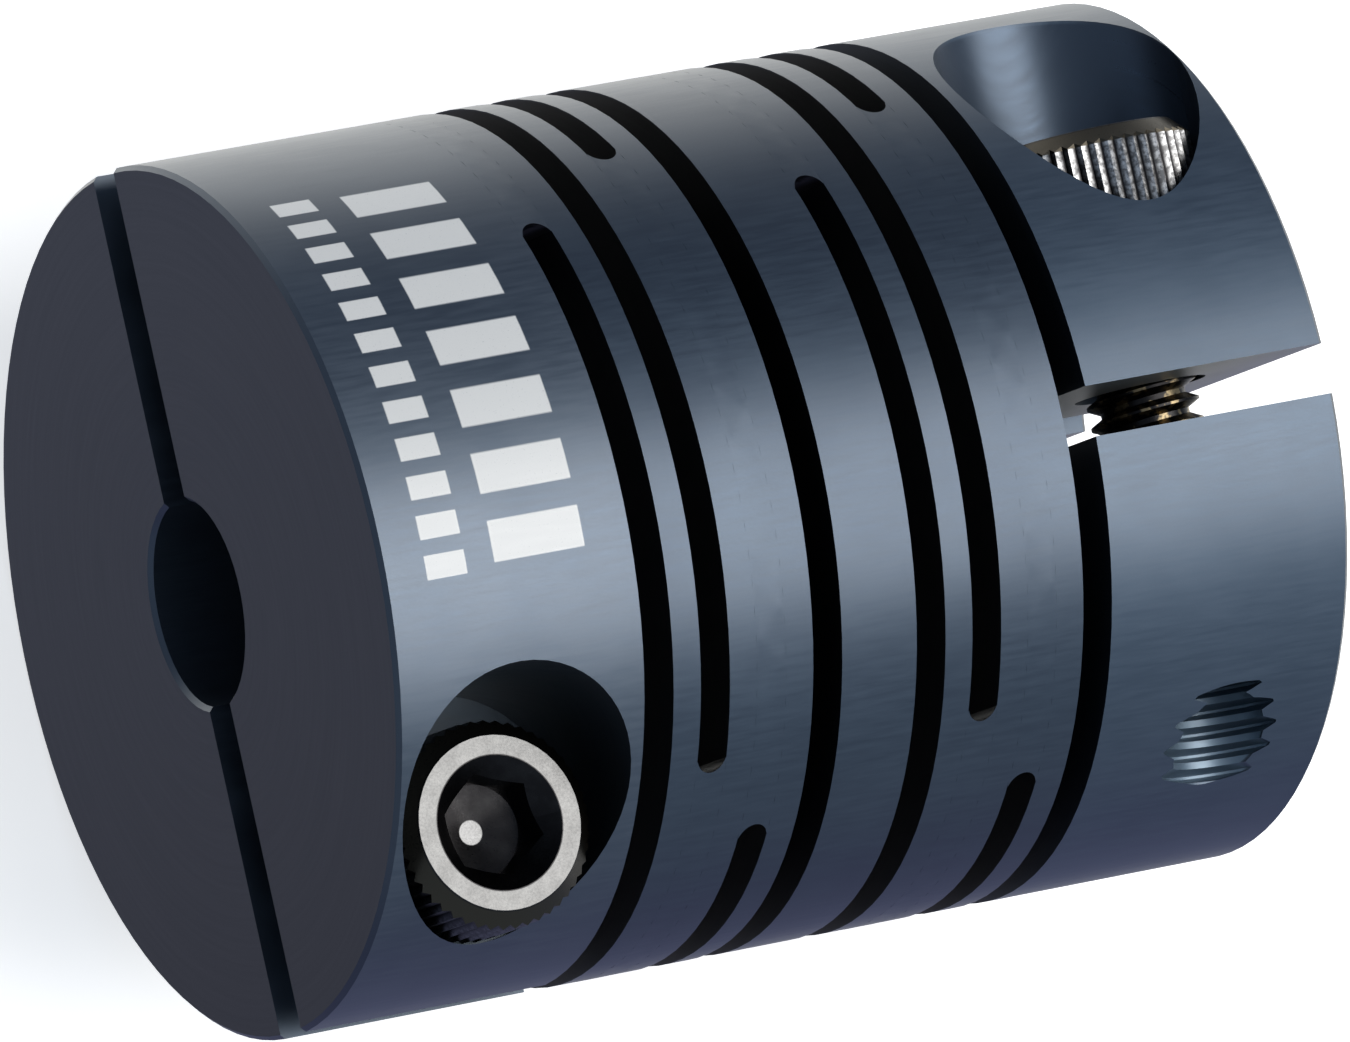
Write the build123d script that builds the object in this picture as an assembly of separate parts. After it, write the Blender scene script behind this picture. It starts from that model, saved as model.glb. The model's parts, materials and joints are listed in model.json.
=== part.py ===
from build123d import *
import math
import os

# A radial-beam shaft coupling turned from one aluminium bar, with a split clamp hub and a
# socket head clamp screw at each end. Eight cross slots, in two groups of four, leave thin
# discs joined by short webs, so that the hubs can tilt and shift against each other.
#
# Frame: X is the shaft axis, +X towards the right hub, and the origin is the coupling's
# centre. The left screw stands along +Z with its head up; the right one lies along Y with
# its head at +Y. Units are millimetres.

LEFT = -1
RIGHT = 1

# ---- body -----------------------------------------------------------------------------
OUTER_D = 19.0
LENGTH = 23.0
BORE_D = 4.5
RELIEF_D = 5.6             # bore between the hubs, clear of the shafts when they tilt
RIM_BREAK = 0.1            # chamfer round each end face
BORE_BREAK = 0.1           # chamfer at each bore's mouth

# ---- cross slots ----------------------------------------------------------------------
SLOT_WIDTH = 0.7
SLOT_PITCH = 1.35
FIRST_SLOT = 6.2           # end face to the middle of the nearest slot
SLOT_FLOOR = 6.1           # shaft axis to the deepest line of a slot's round floor
WEB_LAND = 0.1             # the web's corners start this far past the floor's centre line

# ---- clamp hubs -----------------------------------------------------------------------
SLIT_WIDTH = 1.1           # the slit that parts each hub into two jaws
SLIT_SHIFT = {LEFT: 0.05, RIGHT: -0.17}    # shaft axis to the slit's middle, towards the head
SCREW_FROM_END = {LEFT: 2.9, RIGHT: 2.72}  # end face to the screw's axis
SCREW_OFFSET = {LEFT: 6.24, RIGHT: 5.9}    # shaft axis to the screw's axis
SEAT_HEIGHT = {LEFT: 3.88, RIGHT: 3.5}     # shaft axis to the pocket's floor
POCKET_FROM_END = {LEFT: 2.9, RIGHT: 2.82}
POCKET_OFFSET = 5.84       # shaft axis to the axis of the head's pocket
POCKET_D = 5.4
CLEARANCE_D = 2.9          # screw hole through the head jaw

# ---- clamp screws: M2.5 x 0.45 x 8, socket head -----------------------------------------
PITCH = 0.45
CREST_R = 1.22
ROOT_R = 0.95
SHANK_LENGTH = 8.0
TIP_CHAMFER = 0.35
HEAD_D = 4.5
HEAD_HEIGHT = 2.5
HEAD_CHAMFER = 0.37
KNURL_TEETH = 48
KNURL_DEPTH = 0.09
SOCKET_AF = 2.0            # across flats
SOCKET_DEPTH = 1.3
SOCKET_MOUTH_D = 2.9       # countersink round the socket
SOCKET_POINT = 0.3         # depth of the drill's cone below the flats
SOCKET_TURN = 40.0         # degrees from the screw's local X to a corner

# ---- tapped holes ---------------------------------------------------------------------
TAP_MINOR_R = 1.07
TAP_MAJOR_R = 1.36
FLANK_PLAY = 0.04          # axial play at each flank

# ---- derived --------------------------------------------------------------------------
OUTER_R = OUTER_D / 2
HALF_LENGTH = LENGTH / 2
HUB_LENGTH = FIRST_SLOT - SLOT_WIDTH / 2
REACH = 2 * OUTER_R        # longer than anything a cutter has to clear
CREST_WIDTH = PITCH / 8    # of the thread's ridge, along the axis
ROOT_WIDTH = PITCH * 3 / 4

X_DIR = (1, 0, 0)
UP = {"+Y": (0, 1, 0), "-Y": (0, -1, 0), "+Z": (0, 0, 1), "-Z": (0, 0, -1)}

# Slots from left to right: the side of the bar where each one leaves its web. A hub's slit
# runs out through the web next to it, so that web is two lands, one for each jaw.
WEBS = [("left_hub", "+Y"), ("left_outer_web", "-Y"),
        ("left_middle_web", "+Z"), ("left_inner_web", "-Z"),
        ("right_inner_web", "+Y"), ("right_middle_web", "-Y"),
        ("right_outer_web", "+Z"), ("right_hub", "-Z")]
SLOTS_PER_GROUP = 4
DISCS = ["left_outer_disc", "left_middle_disc", "left_inner_disc", "centre_ring",
         "right_inner_disc", "right_middle_disc", "right_outer_disc"]


def slot_x(index):
    """The middle of a slot, counted from the left."""
    if index < SLOTS_PER_GROUP:
        return FIRST_SLOT + index * SLOT_PITCH - HALF_LENGTH
    return -slot_x(2 * SLOTS_PER_GROUP - 1 - index)


def along_x(x_low, x_high, radius):
    """A cylinder on the shaft axis between two stations."""
    return Pos((x_low + x_high) / 2, 0, 0) * Rot(0, 90, 0) * Cylinder(radius, x_high - x_low)


def bored_bar(x_low, x_high, bore_d):
    return along_x(x_low, x_high, OUTER_R) - along_x(x_low - 1, x_high + 1, bore_d / 2)


def half_space(plane, start):
    """Everything more than start above the plane, as far as the coupling reaches."""
    return plane * Pos(0, 0, start + REACH / 2) * Box(2 * REACH, 2 * REACH, REACH)


def screw_side(side):
    """The direction in which a hub's screw shows its head."""
    return UP["+Z"] if side == LEFT else UP["+Y"]


def slit_plane(side):
    """A hub's slit at its middle, facing the screw's head."""
    axis_plane = Plane(origin=(0, 0, 0), x_dir=X_DIR, z_dir=screw_side(side))
    return axis_plane.offset(SLIT_SHIFT[side])


def hole_plane(side, from_end, offset):
    """The frame of a hole in a hub: the origin is beside the shaft axis and Z points to the head."""
    x = side * (HALF_LENGTH - from_end)
    origin = (x, -offset, 0) if side == LEFT else (x, 0, offset)
    return Plane(origin=origin, x_dir=X_DIR, z_dir=screw_side(side))


def screw_plane(side):
    return hole_plane(side, SCREW_FROM_END[side], SCREW_OFFSET[side])


def pocket_plane(side):
    return hole_plane(side, POCKET_FROM_END[side], POCKET_OFFSET)


# ---- threads --------------------------------------------------------------------------
def thread_ridge(crest_r, root_r, crest_width, root_width, z_low, z_high):
    """A right-hand helical ridge about Z, in phase with every other one made here."""
    start = -PITCH * math.ceil(-z_low / PITCH)
    height = PITCH * math.ceil((z_high - start) / PITCH)
    path = Helix(pitch=PITCH, height=height, radius=root_r, center=(0, 0, start))
    depth = crest_r - root_r
    corners = [(0, -root_width / 2), (depth, -crest_width / 2),
               (depth, crest_width / 2), (0, root_width / 2)]
    across = Plane(origin=(root_r, 0, start), x_dir=X_DIR, z_dir=(0, -1, 0))
    return sweep(across * Polygon(*corners, align=None), path=path, is_frenet=True)


def width_at(radius):
    """The screw ridge's width at a radius, its flanks carried on inwards."""
    slope = (ROOT_WIDTH - CREST_WIDTH) / (CREST_R - ROOT_R)
    return CREST_WIDTH + slope * (CREST_R - radius)


def tapped_hole(z_low, z_high):
    """The cutter for a tapped hole about Z."""
    inner_r = TAP_MINOR_R - 0.05
    drill = Pos(0, 0, (z_low + z_high) / 2) * Cylinder(TAP_MINOR_R, z_high - z_low)
    groove = thread_ridge(TAP_MAJOR_R, inner_r, CREST_WIDTH, width_at(inner_r) + 2 * FLANK_PLAY,
                          z_low, z_high)
    return drill + groove


# ---- screw ----------------------------------------------------------------------------
def knurled_prism(z_low, height):
    """A bar with fine straight teeth all round."""
    step = math.pi / KNURL_TEETH
    radii = [HEAD_D / 2, HEAD_D / 2 - KNURL_DEPTH]
    corners = [(radii[i % 2] * math.cos(i * step), radii[i % 2] * math.sin(i * step))
               for i in range(2 * KNURL_TEETH)]
    return Pos(0, 0, z_low) * extrude(Polygon(*corners, align=None), height)


def socket(top):
    """The hexagon socket's cutter, open at the head's top."""
    hexagon = RegularPolygon(SOCKET_AF / 2, 6, major_radius=False, rotation=SOCKET_TURN)
    flats = Pos(0, 0, top - SOCKET_DEPTH) * extrude(hexagon, SOCKET_DEPTH)
    point_top = top - SOCKET_DEPTH
    point = Pos(0, 0, point_top - SOCKET_POINT / 2) * Cone(0.05, SOCKET_AF / 2, SOCKET_POINT)
    sink_depth = (SOCKET_MOUTH_D - SOCKET_AF) / 2
    sink = Pos(0, 0, top - sink_depth / 2) * Cone(
        SOCKET_AF / 2, SOCKET_MOUTH_D / 2, sink_depth)
    return flats + point + sink


def screw_head(seat):
    """The head, with its underside at the height of its seat."""
    turned = Pos(0, 0, seat + HEAD_HEIGHT / 2) * Cylinder(HEAD_D / 2, HEAD_HEIGHT)
    turned = chamfer(turned.edges().sort_by(Axis.Z)[-1], HEAD_CHAMFER)
    return (turned & knurled_prism(seat, HEAD_HEIGHT)) - socket(seat + HEAD_HEIGHT)


def screw_shank(seat):
    """The threaded shank, from its chamfered tip up to the head."""
    tip = seat - SHANK_LENGTH
    middle = (tip + seat) / 2
    inner_r = ROOT_R - 0.04
    ridge = thread_ridge(CREST_R, inner_r, CREST_WIDTH, width_at(inner_r), tip, seat - PITCH)
    core = Pos(0, 0, middle) * Cylinder(ROOT_R, SHANK_LENGTH + 4 * PITCH)
    blank = Pos(0, 0, middle) * Cylinder(CREST_R + 0.1, SHANK_LENGTH)
    blank = chamfer(blank.edges().sort_by(Axis.Z)[0], TIP_CHAMFER)
    return (core + ridge) & blank


def clamp_screw(side):
    seat = SEAT_HEIGHT[side]
    return screw_plane(side) * (screw_shank(seat) + screw_head(seat))


# ---- body sections --------------------------------------------------------------------
def hub(side):
    """A hub before it is slit: a bored length of bar with its edges broken."""
    far = side * HALF_LENGTH
    near = side * (HALF_LENGTH - HUB_LENGTH)
    bar = bored_bar(min(far, near), max(far, near), BORE_D)
    for radius, size in ((OUTER_R, RIM_BREAK), (BORE_D / 2, BORE_BREAK)):
        circles = bar.edges().filter_by(GeomType.CIRCLE)
        edge = [e for e in circles
                if abs(e.center().X - far) < 0.01 and abs(e.radius - radius) < 0.01]
        bar = chamfer(edge, size)
    return bar


def head_jaw(side):
    """The jaw in which the screw's head is seated."""
    pocket = Pos(0, 0, SEAT_HEIGHT[side] + REACH / 2) * Cylinder(POCKET_D / 2, REACH)
    hole = Cylinder(CLEARANCE_D / 2, 2 * REACH)
    jaw = hub(side) & half_space(slit_plane(side), SLIT_WIDTH / 2)
    return jaw - pocket_plane(side) * pocket - screw_plane(side) * hole


def thread_jaw(side):
    """The jaw that the screw draws up."""
    jaw = hub(side) - half_space(slit_plane(side), -SLIT_WIDTH / 2)
    return jaw - screw_plane(side) * tapped_hole(-OUTER_R, 0)


def web(index, direction):
    """What a slot leaves standing: a segment of the bar that ends in the slot's round floor."""
    x = slot_x(index)
    frame = Plane(origin=(x, 0, 0), x_dir=X_DIR, z_dir=UP[direction])
    floor_centre = SLOT_FLOOR - SLOT_WIDTH / 2
    bar = along_x(x - SLOT_WIDTH / 2, x + SLOT_WIDTH / 2, OUTER_R)
    segment = bar & half_space(frame, floor_centre + WEB_LAND)
    round_floor = frame * Pos(0, 0, floor_centre) * Rot(90, 0, 0) * Cylinder(SLOT_WIDTH / 2, REACH)
    return segment - round_floor


def disc(index):
    """The plate, or the centre ring, that stands between two neighbouring slots."""
    x_low = slot_x(index) + SLOT_WIDTH / 2
    x_high = slot_x(index + 1) - SLOT_WIDTH / 2
    return bored_bar(x_low, x_high, RELIEF_D)


# ---- every node -----------------------------------------------------------------------
nodes = {}
for side_name, side in (("left", LEFT), ("right", RIGHT)):
    nodes[side_name + "_hub_head_jaw"] = head_jaw(side)
    nodes[side_name + "_hub_thread_jaw"] = thread_jaw(side)
    nodes[side_name + "_clamp_screw"] = clamp_screw(side)
for index, name in enumerate(DISCS):
    nodes[name] = disc(index)
for index, (name, direction) in enumerate(WEBS):
    whole = web(index, direction)
    if name.endswith("_web"):
        nodes[name] = whole
        continue
    side = LEFT if name == "left_hub" else RIGHT
    nodes[name + "_head_web"] = whole & half_space(slit_plane(side), SLIT_WIDTH / 2)
    nodes[name + "_thread_web"] = whole - half_space(slit_plane(side), -SLIT_WIDTH / 2)

os.makedirs("parts", exist_ok=True)
for name, shape in nodes.items():
    export_step(shape, "parts/" + name + ".step")
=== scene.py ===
import json
import math

import bmesh
import bpy
from mathutils import Matrix, Vector


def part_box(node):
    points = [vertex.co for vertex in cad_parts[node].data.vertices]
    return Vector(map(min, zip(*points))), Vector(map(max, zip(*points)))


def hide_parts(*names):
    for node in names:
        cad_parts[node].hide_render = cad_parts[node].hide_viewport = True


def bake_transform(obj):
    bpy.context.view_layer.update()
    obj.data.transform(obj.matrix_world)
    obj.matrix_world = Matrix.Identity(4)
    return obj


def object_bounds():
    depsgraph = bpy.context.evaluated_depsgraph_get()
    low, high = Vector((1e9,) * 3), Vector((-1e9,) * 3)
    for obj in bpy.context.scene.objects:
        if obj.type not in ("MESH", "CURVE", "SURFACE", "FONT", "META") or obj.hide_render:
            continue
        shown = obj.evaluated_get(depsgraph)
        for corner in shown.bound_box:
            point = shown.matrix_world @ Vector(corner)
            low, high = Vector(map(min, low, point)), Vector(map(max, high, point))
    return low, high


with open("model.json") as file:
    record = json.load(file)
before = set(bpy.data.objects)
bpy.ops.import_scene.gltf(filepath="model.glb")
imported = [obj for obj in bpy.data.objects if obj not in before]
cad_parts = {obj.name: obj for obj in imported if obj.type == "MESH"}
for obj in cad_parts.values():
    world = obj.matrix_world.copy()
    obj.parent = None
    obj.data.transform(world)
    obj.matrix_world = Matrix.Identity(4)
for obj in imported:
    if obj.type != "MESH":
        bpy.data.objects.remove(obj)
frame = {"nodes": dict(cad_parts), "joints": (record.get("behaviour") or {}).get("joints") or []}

# A beam coupling in the row frame: X is the shaft axis, +Z looks up from the floor, and the
# origin is the coupling's centre. Shapes, lights and the camera are in metres. Materials
# work in millimetres, and so do the names that end in _MM.

cad_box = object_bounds()
LOW, HIGH = cad_box
MM = 0.001
OUTER_R_MM = HIGH.y / MM

# ---- camera ---------------------------------------------------------------------------
CAMERA_DISTANCE = 0.4237
CAMERA_LENS = 521.5            # millimetres
CAMERA_SENSOR = 36.0           # width, in millimetres
CAMERA_AZIMUTH = -80.67        # degrees; 0 looks along +Y
CAMERA_ELEVATION = 63.68
CAMERA_ROLL = 69.16            # anticlockwise, seen from behind the camera
CAMERA_AIM = Vector((0.00006, -0.00011, 0.00002))

# ---- finishes -------------------------------------------------------------------------
ANODISED = (0.036, 0.057, 0.088)
ANODISED_LIGHT = (0.050, 0.075, 0.109)
# Painted light on the hubs: copies of the anodised colour, lighter than the middle and tinted
# apart on each side.
LEFT_HUB_PAINTED_LIGHT_LOW = (0.061, 0.085, 0.118)
LEFT_HUB_PAINTED_LIGHT_HIGH = (0.084, 0.110, 0.145)
RIGHT_HUB_PAINTED_LIGHT_LOW = (0.054, 0.084, 0.124)
RIGHT_HUB_PAINTED_LIGHT_HIGH = (0.072, 0.105, 0.149)
# The tapped hole's threads: light cut metal, brightened further as painted light from the bright
# table.
TAPPED_CUT_AND_LIT = (0.15, 0.21, 0.27)
# The right slit's faces: a lighter milled colour, brightened further as painted light.
SLIT_MILLED_AND_LIT = (0.21, 0.23, 0.24)
# Painted shade: near black inside the cross slots and the relief bore.
SLOT_PAINTED_SHADE = (0.008, 0.010, 0.014)
# Painted shade in the left pocket.
POCKET_PAINTED_SHADE = (0.020, 0.036, 0.054)
POCKET_BLUE = (0.040, 0.062, 0.094)
# Painted shade on the end faces: darker than the body, deepest at -Y and least at +Y.
FACE_PAINTED_SHADE_LOW = (0.022, 0.035, 0.055)
FACE_PAINTED_SHADE_HIGH = (0.050, 0.072, 0.104)
# The edge break: bare metal where the colour is thin, bright enough to paint the edges' highlight
# lines.
BARE_EDGE_HIGHLIGHT = (0.36, 0.38, 0.42)
BLACK_OXIDE = (0.022, 0.021, 0.022)
BROWN_OXIDE = (0.062, 0.055, 0.043)
# Worn steel for the wear on the screws, and a painted highlight on the heads' flat rings.
WORN_STEEL_AND_HIGHLIGHT = (0.17, 0.17, 0.168)
# Painted glint in the socket's floor, where the normal is also turned to face out of the socket.
SOCKET_GLINT_STEEL = (0.20, 0.20, 0.20)
BRONZE_GLINT = (0.50, 0.39, 0.22)
# Painted highlight on the knurl's crests.
CREST_HIGHLIGHT = (0.60, 0.60, 0.60)

# Noises: scale per millimetre, and detail.
CLOUDS = (0.45, 2.0)
GRAINS = (28.0, 2.0)
EDGE_PATCHES = (3.0, 3.0)
OXIDE_GRAIN = (22.0, 4.0)
OXIDE_SMEARS = (2.2, 3.0)
CREST_FLECKS = (9.0, 2.0)
SHANK_GLINTS = (3.5, 2.0)
FLOOR_SPECKS = (0.8, 2.0)
TOOL_MARKS = (1.0, 4.0)        # on points stretched by the four scales below
LINE_ALONG = 0.9               # drawn lines: slow along the shaft axis
LINE_AROUND = 85.0             # and fine around it
RING_ACROSS = 9.0              # turned rings on the end faces
RING_AROUND = 2.0
NOISE_ROUGHNESS = 0.55
NOISE_RANGE = (0.3, 0.7)       # most values of a noise lie in it
COLOUR_RANGE = (0.38, 0.62)    # the body's colour goes from dark to light in it
EDGE_RANGE = (0.35, 0.65)
INK_RANGE = (0.25, 0.35)
OXIDE_RANGE = (0.4, 0.8)
FLECK_RANGE = (0.40, 0.60)
GLINT_RANGE = (0.52, 0.60)

MARK_SHARE = 0.6               # of the tool marks in the body's colour; clouds make the rest
GRAIN_SHARE = 0.3              # of the grains in its roughness; tool marks make the rest
INK_THIN = 0.7                 # cover of the thinnest ink
RING_PATCHY = 0.75             # wear and painted highlight on the screws' rings, where they are least
OXIDE_WEAR = 0.10              # most wear elsewhere on a screw
CREST_DULL = 0.3               # shine of the dullest crest
GLINT_STRENGTH = 0.6
LEFT_CREST_SHINE = 0.2              # the left screw's knurl crests get little of the painted highlight
RIGHT_CREST_SHINE = 1.0

BODY_ROUGH = (0.40, 0.56)
RIGHT_HUB_ROUGHER = 0.06
POCKET_SMOOTHER = 0.16
COAT_ROUGHNESS = 0.36
EDGE_ROUGH = (0.28, 0.42)
SCREW_ROUGH = (0.26, 0.40)
FLOOR_ROUGHNESS = 0.9

# Bump: its height in metres, and its strength.
BODY_BUMP = (0.002 * MM, 0.5)
SCREW_BUMP = (0.001 * MM, 0.2)

# ---- masks on the body, in millimetres -----------------------------------------------------
# A mask's edge is soft over a few hundredths of a millimetre.
MASK_SOFT = 0.04               # for the masks that fade at the outer diameter
SLOT_DEPTH = 0.01              # below the outer diameter, where slots and slits start
HOLE_DEPTH = 0.04              # and where pockets and tapped holes do
FACE_NORMAL = (0.6, 0.8)       # the normal's part along X on the end faces
FACE_SHADE_SPAN = 8.0                # painted shade on the end faces, deeper from +Y to -Y
SIDE_SPAN = 1.0                # the left hub's painted light ends and the right one's starts, in x
SLIT_NORMAL = (0.9, 0.95)      # the normal's part along Y on the right slit's faces
POCKET_R = 2.78                # a little more than the real wall
LEFT_POCKET = (-8.6, -5.84)
RIGHT_POCKET = (8.68, 5.84)
TAP_R = 1.45
TAP_TOP = -0.8                 # just below the slit, in y
HUB_START = 5.6                # from the coupling's middle
HUB_BLEND = 4.9                # the hubs' painted light starts here and is full at HUB_START
SLIT_HALF = 0.8                # a little more than a slit's half width

# ---- printed mark: plain blocks in two rows on the left hub ------------------------------
MARK_FROM = -8.0               # degrees from +Z towards +Y
MARK_TO = 54.0
WIDE_ROW = (-8.85, -6.75)      # its two ends along the axis
WIDE_BLOCKS = 7
NARROW_ROW = (-10.45, -9.55)
NARROW_BLOCKS = 12
BLOCK_SHARE = 0.56             # of the pitch
BLOCK_SOFT = 0.03
MARK_SOFT = 0.01               # degrees
PRINT_DEPTH = (0.06, 0.04)     # below the outer diameter: no ink, and all of it
PRINT_COLOUR = (0.66, 0.66, 0.64)

# ---- wear and painted highlights on the clamp screws, in millimetres -----------------------
HEAD_HEIGHT = 2.5
HEAD_CHAMFER = 0.37
RING_INNER = 1.46
RING_OUTER = 1.87
CREST_LOW = 2.17
CREST_HIGH = 2.22
SOCKET_GLINT_R = 0.25           # radius of the painted glint in the socket's floor
SOCKET_FLOOR = 1.2             # below the head's top, just above the floor

# ---- pieces --------------------------------------------------------------------------------
EDGE_ANGLE = math.radians(32)  # a sharper edge is broken, and smooth shading stops at it
EDGE_BREAK = 0.04 * MM
WEB_RINGS = 6                  # lengths between the edge loops that let a web bend
WELD = 0.0001 * MM

# ---- floor and light, as the object's own reflections show it ------------------------------
FLOOR_SIZE = 2.0
FLOOR_COLOUR = (0.93, 0.93, 0.93)
FLOOR_SPECK = (0.95, 0.95, 0.95)
FLOOR_GLOW = 0.6
FLOOR_GLOW_COLOUR = (1.0, 0.99, 0.965, 1.0)
ROOM_DIM = (0.19, 0.23, 0.30)
ROOM_BRIGHT = (0.34, 0.41, 0.50)
TABLE_NEAR = (0.20, 0.20, 0.24)
TABLE_COOL = (0.16, 0.17, 0.29)
TABLE_BRIGHT = (1.15, 1.15, 1.12)
TABLE_SKEW = 0.6               # the bright side turns this much towards +X
# Ranges of the direction's parts, from the first colour to the second.
HORIZON = (0.0, -0.45)         # z: room to table
COOL_RANGE = (0.05, -0.25)     # y: TABLE_NEAR to TABLE_COOL
BRIGHT_RANGE = (0.0, 0.35)     # y and x: either of them to TABLE_BRIGHT
ROOM_RANGE = (0.8, -0.8)       # y: ROOM_DIM to ROOM_BRIGHT
KEY_DIRECTION = (0.437, -0.116, 0.892)
KEY_DISTANCE = 0.3
KEY_SIZE = (0.24, 0.28)
KEY_POWER = 0.88
KEY_COLOUR = (1.0, 0.975, 0.94)


class Screw:
    """Where a clamp screw is, in millimetres, from the box of its CAD node."""

    def __init__(self, side, across, up):
        """Row axis up (0 for X to 2 for Z) is the way that the head faces."""
        low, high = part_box(side + "_clamp_screw")
        self.across = across
        self.up = up
        self.axis = tuple((low[axis] + high[axis]) / 2 / MM for axis in (0, across))
        self.seat = high[up] / MM - HEAD_HEIGHT
        self.facing = tuple(float(axis == up) for axis in range(3))


LEFT_SCREW = Screw("left", across=1, up=2)
RIGHT_SCREW = Screw("right", across=2, up=1)


class Tree:
    """A short way to write a node tree."""

    def put(self, socket, value):
        if isinstance(value, bpy.types.NodeSocket):
            self.tree.links.new(value, socket)
        else:
            socket.default_value = value

    def math(self, operation, first, second=0.0):
        node = self.tree.nodes.new("ShaderNodeMath")
        node.operation = operation
        self.put(node.inputs[0], first)
        self.put(node.inputs[1], second)
        return node.outputs[0]

    def product(self, *factors):
        result = factors[0]
        for factor in factors[1:]:
            result = self.math("MULTIPLY", result, factor)
        return result

    def weighted(self, first, second, share):
        """first and second added up, where second has the given share and first the rest."""
        return self.math("ADD", self.product(first, 1.0 - share), self.product(second, share))

    def opposite(self, mask):
        return self.math("SUBTRACT", 1.0, mask)

    def position_mm(self):
        """The point in the piece's own frame, in millimetres, and its three parts.

        At rest that is the row frame. In a pose it stays with a rigid piece, but a bending
        web's points move through it.
        """
        where = self.tree.nodes.new("ShaderNodeTexCoord").outputs["Object"]
        scale = self.tree.nodes.new("ShaderNodeVectorMath")
        scale.operation = "SCALE"
        self.put(scale.inputs[0], where)
        scale.inputs["Scale"].default_value = 1 / MM
        parts = self.tree.nodes.new("ShaderNodeSeparateXYZ")
        self.put(parts.inputs[0], scale.outputs[0])
        return scale.outputs[0], parts.outputs

    def normal(self):
        """The three parts of the surface's own normal, in the object's frame."""
        parts = self.tree.nodes.new("ShaderNodeSeparateXYZ")
        self.put(parts.inputs[0], self.tree.nodes.new("ShaderNodeTexCoord").outputs["Normal"])
        return parts.outputs

    def vector(self, x, y, z):
        node = self.tree.nodes.new("ShaderNodeCombineXYZ")
        for socket, value in zip(node.inputs, (x, y, z)):
            self.put(socket, value)
        return node.outputs[0]

    def noise(self, where, scale, detail):
        node = self.tree.nodes.new("ShaderNodeTexNoise")
        self.put(node.inputs["Vector"], where)
        node.inputs["Scale"].default_value = scale
        node.inputs["Detail"].default_value = detail
        node.inputs["Roughness"].default_value = NOISE_ROUGHNESS
        return node.outputs["Fac"]

    def remap(self, value, low, high, to_low=0.0, to_high=1.0):
        """to_low at low, to_high at high and a straight line between, but never past either."""
        node = self.tree.nodes.new("ShaderNodeMapRange")
        self.put(node.inputs["Value"], value)
        for name, number in (("From Min", low), ("From Max", high),
                             ("To Min", to_low), ("To Max", to_high)):
            node.inputs[name].default_value = number
        return node.outputs["Result"]

    def mix(self, share, first, second):
        node = self.tree.nodes.new("ShaderNodeMix")
        node.data_type = "RGBA"
        self.put(node.inputs["Factor"], share)
        for socket, colour in ((node.inputs["A"], first), (node.inputs["B"], second)):
            self.put(socket, (*colour, 1.0) if isinstance(colour, tuple) else colour)
        return node.outputs["Result"]

    def between(self, value, low, high, soft):
        """1 from low to high, and 0 outside them."""
        return self.product(self.remap(value, low - soft, low),
                            self.remap(value, high + soft, high))

    def length(self, first, second):
        return self.math("SQRT", self.math("ADD", self.product(first, first),
                                           self.product(second, second)))

    def away(self, first, second, centre):
        """How far first and second, taken as a point in a plane, lie from the centre."""
        return self.length(self.math("SUBTRACT", first, centre[0]),
                           self.math("SUBTRACT", second, centre[1]))

    def flattened(self, share, normal, flat):
        """The normal, turned to one direction of the object's frame where share is 1."""
        world = self.tree.nodes.new("ShaderNodeVectorTransform")
        world.vector_type = "NORMAL"
        world.convert_from = "OBJECT"
        world.convert_to = "WORLD"
        world.inputs[0].default_value = flat
        node = self.tree.nodes.new("ShaderNodeMix")
        node.data_type = "VECTOR"
        self.put(node.inputs["Factor"], share)
        for name, value in (("A", normal), ("B", world.outputs[0])):
            socket = [s for s in node.inputs if s.name == name and s.type == "VECTOR"][0]
            self.tree.links.new(value, socket)
        return [s for s in node.outputs if s.type == "VECTOR"][0]

    def bump(self, height, distance, strength):
        node = self.tree.nodes.new("ShaderNodeBump")
        self.put(node.inputs["Height"], height)
        node.inputs["Distance"].default_value = distance
        node.inputs["Strength"].default_value = strength
        return node.outputs["Normal"]


class Nodes(Tree):
    """The node tree of a new material."""

    def __init__(self, name):
        self.material = bpy.data.materials.new(name)
        self.material.use_nodes = True
        self.tree = self.material.node_tree
        self.shader = self.tree.nodes["Principled BSDF"]


class WorldNodes(Tree):
    """The node tree of the world."""

    def __init__(self, world):
        self.tree = world.node_tree


# ---- materials ------------------------------------------------------------------------
def deeper(n, radius, depth):
    """1 on what lies deeper than depth below the outer diameter."""
    return n.remap(radius, OUTER_R_MM - depth, OUTER_R_MM - depth - MASK_SOFT)


def pocket_mask(n, away, height, seat, radius):
    """1 on the wall of a pocket, above its seat; away is the distance from its axis."""
    return n.product(n.remap(away, POCKET_R + 0.03, POCKET_R),
                     n.remap(height, seat - 0.1, seat - 0.05), deeper(n, radius, HOLE_DEPTH))


def slot_shade_mask(n, x, radius):
    """1 inside the cross slots and the relief bore, where the colour is painted shade."""
    return n.product(deeper(n, radius, SLOT_DEPTH),
                     n.remap(n.math("ABSOLUTE", x), HUB_START + 0.04, HUB_START))


def tapped_mask(n, x, y, z, radius):
    """1 on the threads of the right hub's tapped hole, which take a light cut-metal colour with
    painted light on it.
    """
    return n.product(n.remap(n.away(x, z, RIGHT_SCREW.axis), TAP_R + 0.02, TAP_R),
                     n.remap(y, TAP_TOP, TAP_TOP - 0.1), deeper(n, radius, HOLE_DEPTH))


def slit_mask(n, x, y, radius):
    """1 on the faces of the right hub's slit, which take a lighter milled colour with painted
    light on it.
    """
    return n.product(n.remap(n.math("ABSOLUTE", n.normal()[1]), *SLIT_NORMAL),
                     n.remap(n.math("ABSOLUTE", y), SLIT_HALF + 0.02, SLIT_HALF),
                     n.remap(x, HUB_START, HUB_START + 0.1), deeper(n, radius, SLOT_DEPTH))


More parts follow.
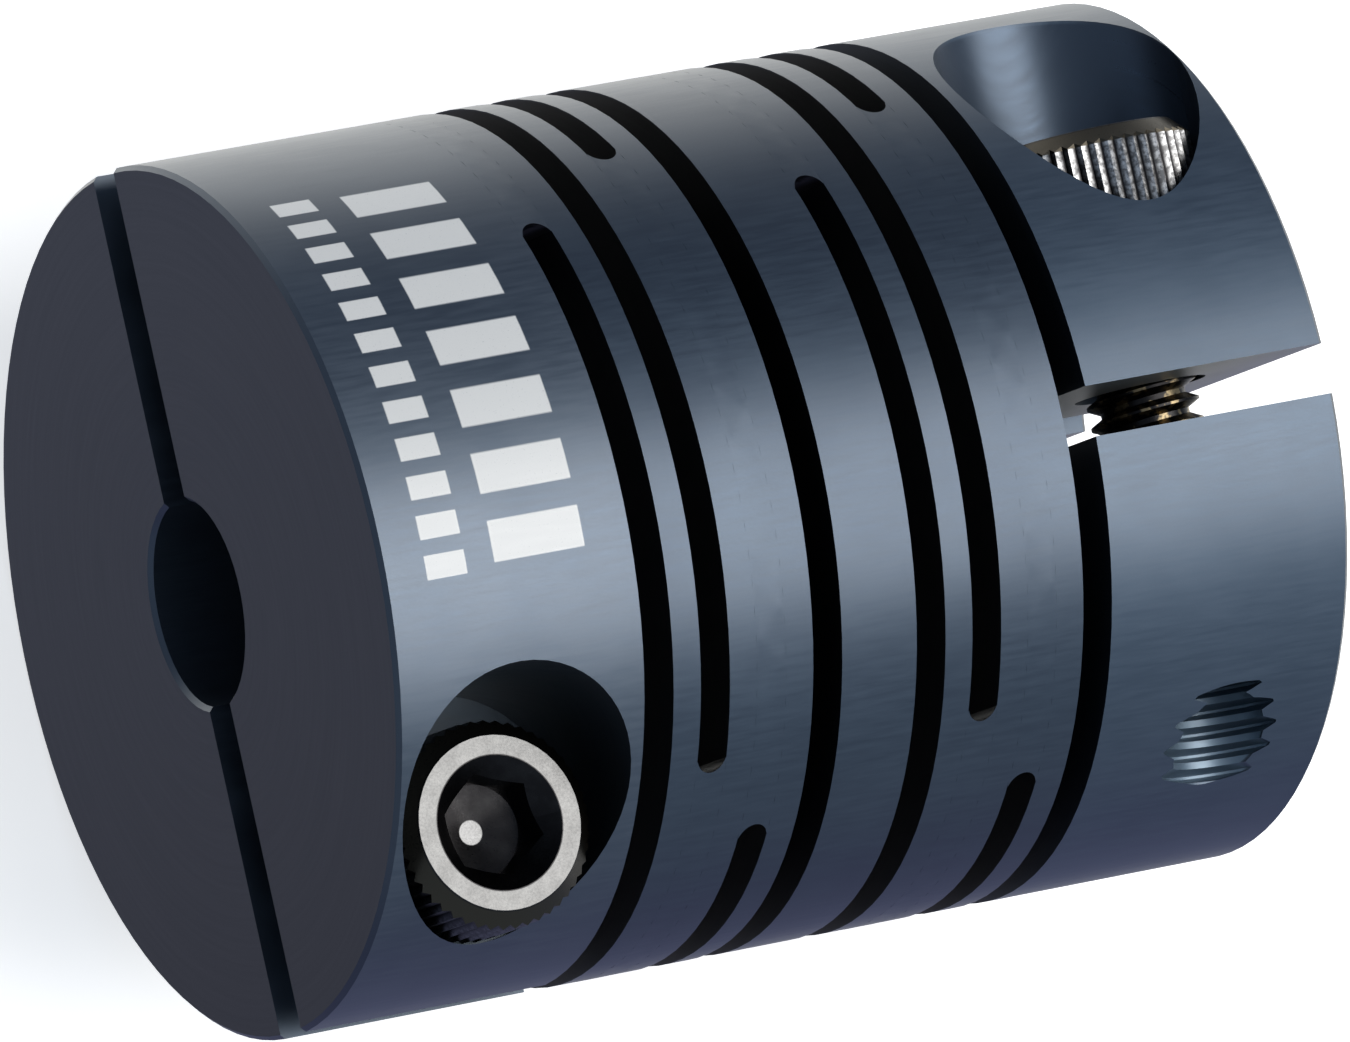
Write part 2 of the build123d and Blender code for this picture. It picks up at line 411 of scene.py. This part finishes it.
def mark_row(n, x, along, row, blocks):
    """One row of plain printed blocks; along runs from 0 to 1 over the mark."""
    step = n.math("FRACT", n.product(along, float(blocks)))
    return n.product(n.between(step, 0.5 - BLOCK_SHARE / 2, 0.5 + BLOCK_SHARE / 2, BLOCK_SOFT),
                     n.between(x, row[0], row[1], BLOCK_SOFT))


def printed_mark(n, x, y, z, radius):
    """1 on the printed blocks, which lie on the outer diameter only."""
    angle = n.math("DEGREES", n.math("ARCTAN2", y, z))
    along = n.remap(angle, MARK_FROM, MARK_TO)
    rows = n.math("MAXIMUM", mark_row(n, x, along, WIDE_ROW, WIDE_BLOCKS),
                  mark_row(n, x, along, NARROW_ROW, NARROW_BLOCKS))
    no_ink, all_ink = PRINT_DEPTH
    return n.product(rows, n.between(angle, MARK_FROM, MARK_TO, MARK_SOFT),
                     n.remap(radius, OUTER_R_MM - no_ink, OUTER_R_MM - all_ink))


def anodised(name, printed):
    """Drawn and turned aluminium under slate-blue anodising, with or without the printed mark;
    painted light on the hubs, the slit faces and the tapped hole, and painted shade on the end
    faces, the left pocket, the slots and the bore.
    """
    n = Nodes(name)
    where, (x, y, z) = n.position_mm()
    radius = n.length(y, z)
    round_y = n.math("DIVIDE", y, radius)
    round_z = n.math("DIVIDE", z, radius)
    lines = n.noise(n.vector(n.product(x, LINE_ALONG), n.product(round_y, LINE_AROUND),
                             n.product(round_z, LINE_AROUND)), *TOOL_MARKS)
    rings = n.noise(n.vector(n.product(radius, RING_ACROSS), n.product(round_y, RING_AROUND),
                             n.product(round_z, RING_AROUND)), *TOOL_MARKS)
    on_face = n.remap(n.math("ABSOLUTE", n.normal()[0]), *FACE_NORMAL)
    marks = n.mix(on_face, lines, rings)
    clouds = n.noise(where, *CLOUDS)
    grains = n.noise(where, *GRAINS)

    share = n.remap(n.weighted(clouds, marks, MARK_SHARE), *COLOUR_RANGE)
    # Painted light on the hubs, with a tint of its own on each side.
    on_hub = n.product(n.remap(n.math("ABSOLUTE", x), HUB_BLEND, HUB_START), n.opposite(on_face))
    right_side = n.remap(x, -SIDE_SPAN, SIDE_SPAN)
    hub = n.mix(right_side, n.mix(share, LEFT_HUB_PAINTED_LIGHT_LOW, LEFT_HUB_PAINTED_LIGHT_HIGH),
                n.mix(share, RIGHT_HUB_PAINTED_LIGHT_LOW, RIGHT_HUB_PAINTED_LIGHT_HIGH))
    # Painted shade on the end faces, deeper towards -Y.
    face = n.mix(n.remap(y, -FACE_SHADE_SPAN, FACE_SHADE_SPAN), FACE_PAINTED_SHADE_LOW, FACE_PAINTED_SHADE_HIGH)
    # Painted shade on the left pocket's wall.
    left_pocket_shade = pocket_mask(n, n.away(x, y, LEFT_POCKET), z, LEFT_SCREW.seat, radius)
    right_pocket = pocket_mask(n, n.away(x, z, RIGHT_POCKET), y, RIGHT_SCREW.seat, radius)
    colour = n.mix(share, ANODISED, ANODISED_LIGHT)
    # Painted light on the right slit's faces, over a lighter milled colour.
    for mask, over in ((on_hub, hub), (on_face, face), (slit_mask(n, x, y, radius), SLIT_MILLED_AND_LIT),
                       (left_pocket_shade, POCKET_PAINTED_SHADE), (right_pocket, POCKET_BLUE),
                       # Painted shade, near black, in the slots and the bore.
                       (slot_shade_mask(n, x, radius), SLOT_PAINTED_SHADE),
                       # Painted light on the tapped hole's threads, over a light cut-metal
                       # colour.
                       (tapped_mask(n, x, y, z, radius), TAPPED_CUT_AND_LIT)):
        colour = n.mix(mask, colour, over)
    if printed:
        ink = n.product(printed_mark(n, x, y, z, radius), n.remap(grains, *INK_RANGE, INK_THIN))
        colour = n.mix(ink, colour, PRINT_COLOUR)
        n.put(n.shader.inputs["Metallic"], n.opposite(ink))
    else:
        n.shader.inputs["Metallic"].default_value = 1.0
    n.put(n.shader.inputs["Base Color"], colour)

    uneven = n.weighted(marks, grains, GRAIN_SHARE)
    rough = n.math("ADD", n.remap(uneven, *NOISE_RANGE, *BODY_ROUGH),
                   n.product(on_hub, right_side, RIGHT_HUB_ROUGHER))
    n.put(n.shader.inputs["Roughness"],
          n.math("SUBTRACT", rough, n.product(right_pocket, POCKET_SMOOTHER)))
    n.shader.inputs["Coat Weight"].default_value = 1.0
    n.shader.inputs["Coat Roughness"].default_value = COAT_ROUGHNESS
    n.put(n.shader.inputs["Normal"], n.bump(uneven, *BODY_BUMP))
    return n.material


def bare_edge_highlight():
    """The fine edge break, where the colour is thin: bare metal, made bright as a painted
    highlight line.
    """
    n = Nodes("edge_break")
    where, _ = n.position_mm()
    patches = n.noise(where, *EDGE_PATCHES)
    n.put(n.shader.inputs["Base Color"],
          n.mix(n.remap(patches, *EDGE_RANGE), ANODISED_LIGHT, BARE_EDGE_HIGHLIGHT))
    n.shader.inputs["Metallic"].default_value = 1.0
    n.put(n.shader.inputs["Roughness"], n.remap(patches, *NOISE_RANGE, *EDGE_ROUGH))
    return n.material


def black_screw(name, screw, crest_shine):
    """Black-oxide steel with some wear and a brown chamfer; a worn ring on the head made bright
    as a painted highlight, painted highlights on the knurl's crests, painted glints on the shank
    and a painted glint in the socket.
    """
    n = Nodes(name)
    where, parts = n.position_mm()
    radius = n.away(parts[0], parts[screw.across], screw.axis)
    height = parts[screw.up]
    top = screw.seat + HEAD_HEIGHT
    socket_floor = top - SOCKET_FLOOR
    grain = n.noise(where, *OXIDE_GRAIN)
    smears = n.noise(where, *OXIDE_SMEARS)
    flecks = n.noise(where, *CREST_FLECKS)

    # The flat ring on the head: worn steel, made bright as a painted highlight.
    ring_wear_and_highlight = n.product(n.remap(radius, RING_INNER, RING_INNER + 0.02),
                     n.remap(radius, RING_OUTER + 0.02, RING_OUTER),
                     n.remap(height, top - 0.03, top - 0.01),
                     n.remap(smears, *NOISE_RANGE, RING_PATCHY))
    worn_and_highlight = n.math("MAXIMUM", ring_wear_and_highlight, n.remap(smears, *OXIDE_RANGE, 0.0, OXIDE_WEAR))
    chamfer = n.product(n.remap(radius, RING_OUTER + 0.02, RING_OUTER + 0.05),
                        n.remap(height, top - HEAD_CHAMFER - 0.02, top - HEAD_CHAMFER))
    # Painted highlight on the knurl's crests.
    crest_highlights = n.product(n.remap(radius, CREST_LOW, CREST_HIGH),
                       n.remap(height, screw.seat + 0.1, screw.seat + 0.2),
                       n.remap(flecks, *FLECK_RANGE, CREST_DULL), crest_shine,
                       n.opposite(chamfer))
    on_shank = n.remap(height, screw.seat - 0.05, screw.seat - 0.1)
    glints = n.product(on_shank, n.remap(n.noise(where, *SHANK_GLINTS), *GLINT_RANGE,
                                         0.0, GLINT_STRENGTH))
    # A painted glint on the socket's floor, with the normal turned flat there.
    socket_glint = n.product(n.remap(radius, SOCKET_GLINT_R + 0.03, SOCKET_GLINT_R),
                       n.remap(height, socket_floor + 0.05, socket_floor), n.opposite(on_shank))
    colour = BLACK_OXIDE
    for mask, over in ((worn_and_highlight, WORN_STEEL_AND_HIGHLIGHT), (chamfer, BROWN_OXIDE), (crest_highlights, CREST_HIGHLIGHT),
                       (glints, BRONZE_GLINT), (socket_glint, SOCKET_GLINT_STEEL)):
        colour = n.mix(mask, colour, over)
    n.put(n.shader.inputs["Base Color"], colour)
    n.shader.inputs["Metallic"].default_value = 1.0
    n.put(n.shader.inputs["Roughness"], n.remap(grain, *NOISE_RANGE, *SCREW_ROUGH))
    n.put(n.shader.inputs["Normal"],
          n.flattened(socket_glint, n.bump(grain, *SCREW_BUMP), screw.facing))
    return n.material


def floor_material():
    n = Nodes("floor")
    where, _ = n.position_mm()
    n.put(n.shader.inputs["Base Color"],
          n.mix(n.noise(where, *FLOOR_SPECKS), FLOOR_COLOUR, FLOOR_SPECK))
    n.shader.inputs["Roughness"].default_value = FLOOR_ROUGHNESS
    n.shader.inputs["Emission Color"].default_value = FLOOR_GLOW_COLOUR
    n.shader.inputs["Emission Strength"].default_value = FLOOR_GLOW
    return n.material


# ---- pieces ---------------------------------------------------------------------------
def link(name, data):
    """A new object in the scene."""
    thing = bpy.data.objects.new(name, data)
    bpy.context.scene.collection.objects.link(thing)
    return thing


def dress(mesh, materials):
    """Give a mesh its materials, and smooth shading that stops at every sharp edge."""
    mesh.materials.clear()
    for material in materials:
        mesh.materials.append(material)
    for polygon in mesh.polygons:
        polygon.material_index = 0
        polygon.use_smooth = True
    mesh.set_sharp_from_angle(angle=EDGE_ANGLE)


def break_edges(node):
    """A fine bevel in the node's last material, over flat faces freed of their triangles."""
    flat = node.modifiers.new("flat", "DECIMATE")
    flat.decimate_type = "DISSOLVE"
    flat.angle_limit = math.radians(1)
    bevel = node.modifiers.new("edge_break", "BEVEL")
    bevel.width = EDGE_BREAK
    bevel.segments = 2
    bevel.limit_method = "ANGLE"
    bevel.angle_limit = EDGE_ANGLE
    bevel.material = len(node.data.materials) - 1
    bevel.harden_normals = True


def cut(shape, x, keep=0):
    """Cut a mesh across at x, and keep both sides of it, or one: 1 above x, -1 below it."""
    bmesh.ops.bisect_plane(shape, geom=shape.verts[:] + shape.edges[:] + shape.faces[:],
                           plane_co=(x, 0, 0), plane_no=(1, 0, 0),
                           clear_inner=keep > 0, clear_outer=keep < 0)
    if keep:
        rim = [edge for edge in shape.edges if edge.is_boundary]
        bmesh.ops.holes_fill(shape, edges=rim, sides=0)


def bending_web(name, part, start_x, end_x, material):
    """A copy of a CAD web, from start_x to end_x, cut into lengths by edge loops.

    A part of a web is cut at one end, so it is welded first and takes new normals. A whole
    web keeps the ones that the frame gave it.
    """
    low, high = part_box(name)
    piece = link(name + part, frame["nodes"][name].data.copy())
    shape = bmesh.new()
    shape.from_mesh(piece.data)
    is_part = start_x > low.x or end_x < high.x
    if is_part:
        bmesh.ops.remove_doubles(shape, verts=shape.verts[:], dist=WELD)
    if start_x > low.x:
        cut(shape, start_x, keep=1)
    if end_x < high.x:
        cut(shape, end_x, keep=-1)
    for step in range(1, WEB_RINGS):
        cut(shape, start_x + (end_x - start_x) * step / WEB_RINGS)
    if is_part:
        bmesh.ops.recalc_face_normals(shape, faces=shape.faces[:])
    shape.to_mesh(piece.data)
    shape.free()
    stored_normals = piece.data.attributes.get("custom_normal")
    if is_part and stored_normals:
        piece.data.attributes.remove(stored_normals)
    dress(piece.data, [material])
    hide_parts(name)
    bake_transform(piece)


def bending_thread_web(name, side, material):
    """The web by a thread jaw, in two halves: its jaw turns against the head jaw as well."""
    low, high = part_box(name)
    middle = (low.x + high.x) / 2
    bodies = [side + "_thread_jaw", side + "_head_jaw", side + "_outer"]
    if side == "right":
        bodies.reverse()
    bending_web(name, "_bending_low", low.x, middle, material)
    bending_web(name, "_bending_high", middle, high.x, material)


body_finish = anodised("anodised_body", False)
printed_finish = anodised("anodised_body_printed", True)
edge_finish_highlight = bare_edge_highlight()
left_screw_finish = black_screw("black_screw", LEFT_SCREW, LEFT_CREST_SHINE)
right_screw_finish = black_screw("black_screw_right", RIGHT_SCREW, RIGHT_CREST_SHINE)

for name, node in frame["nodes"].items():
    if "screw" in name:
        dress(node.data, [left_screw_finish if "left" in name else right_screw_finish])
    elif "web" not in name:
        is_printed = name == "left_hub_head_jaw"
        dress(node.data, [printed_finish if is_printed else body_finish, edge_finish_highlight])
        break_edges(node)

for joint in frame["joints"]:
    if not joint["name"].endswith("_flexure"):
        continue
    for row in joint["deforming_nodes"]:
        web = row["node"]
        if web.endswith("_thread_web"):
            bending_thread_web(web, web.split("_")[0], body_finish)
        else:
            low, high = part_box(web)
            bending_web(web, "_bending",
                        low.x, high.x, body_finish)


# ---- floor, light and camera ------------------------------------------------------------
def add_floor():
    half = FLOOR_SIZE / 2
    mesh = bpy.data.meshes.new("floor")
    corners = [(-half, -half, 0), (half, -half, 0), (half, half, 0), (-half, half, 0)]
    mesh.from_pydata(corners, [], [(0, 1, 2, 3)])
    mesh.materials.append(floor_material())
    floor = link("floor", mesh)
    floor.location = (0, 0, LOW.z)
    floor.visible_glossy = False


def add_key_light():
    """A soft box that looks at the origin."""
    light = bpy.data.lights.new("key_light", "AREA")
    light.shape = "RECTANGLE"
    light.size, light.size_y = KEY_SIZE
    light.energy = KEY_POWER
    light.color = KEY_COLOUR
    lamp = link("key_light", light)
    towards = Vector(KEY_DIRECTION).normalized()
    lamp.location = towards * KEY_DISTANCE
    lamp.rotation_mode = "QUATERNION"
    lamp.rotation_quaternion = towards.to_track_quat("Z", "Y")


def add_world():
    """A dim room with a cool tint, over a table that is bright on the +Y side."""
    world = bpy.data.worlds.new("studio")
    world.use_nodes = True
    n = WorldNodes(world)
    direction = n.tree.nodes.new("ShaderNodeTexCoord").outputs["Generated"]
    parts = n.tree.nodes.new("ShaderNodeSeparateXYZ")
    n.put(parts.inputs[0], direction)
    x, y, z = parts.outputs
    dim = n.mix(n.remap(y, *COOL_RANGE), TABLE_NEAR, TABLE_COOL)
    across = n.math("ADD", y, n.product(x, TABLE_SKEW))
    table = n.mix(n.remap(across, *BRIGHT_RANGE), dim, TABLE_BRIGHT)
    room = n.mix(n.remap(y, *ROOM_RANGE), ROOM_DIM, ROOM_BRIGHT)
    n.put(n.tree.nodes["Background"].inputs["Color"], n.mix(n.remap(z, *HORIZON), room, table))
    bpy.context.scene.world = world


def add_camera():
    azimuth = math.radians(CAMERA_AZIMUTH)
    elevation = math.radians(CAMERA_ELEVATION)
    back = Vector((math.sin(azimuth) * math.cos(elevation),
                   -math.cos(azimuth) * math.cos(elevation), math.sin(elevation)))
    camera = link("camera", bpy.data.cameras.new("camera"))
    camera.data.sensor_width = CAMERA_SENSOR
    camera.data.lens = CAMERA_LENS
    camera.data.clip_start = 0.01
    camera.data.clip_end = 10
    camera.location = CAMERA_AIM + back * CAMERA_DISTANCE
    level = back.to_track_quat("Z", "Y").to_matrix()
    roll = Matrix.Rotation(math.radians(CAMERA_ROLL), 3, "Z")
    camera.rotation_euler = (level @ roll).to_euler()
    bpy.context.scene.camera = camera


add_floor()
add_world()
add_key_light()
add_camera()
bpy.context.scene.view_settings.view_transform = "Standard"
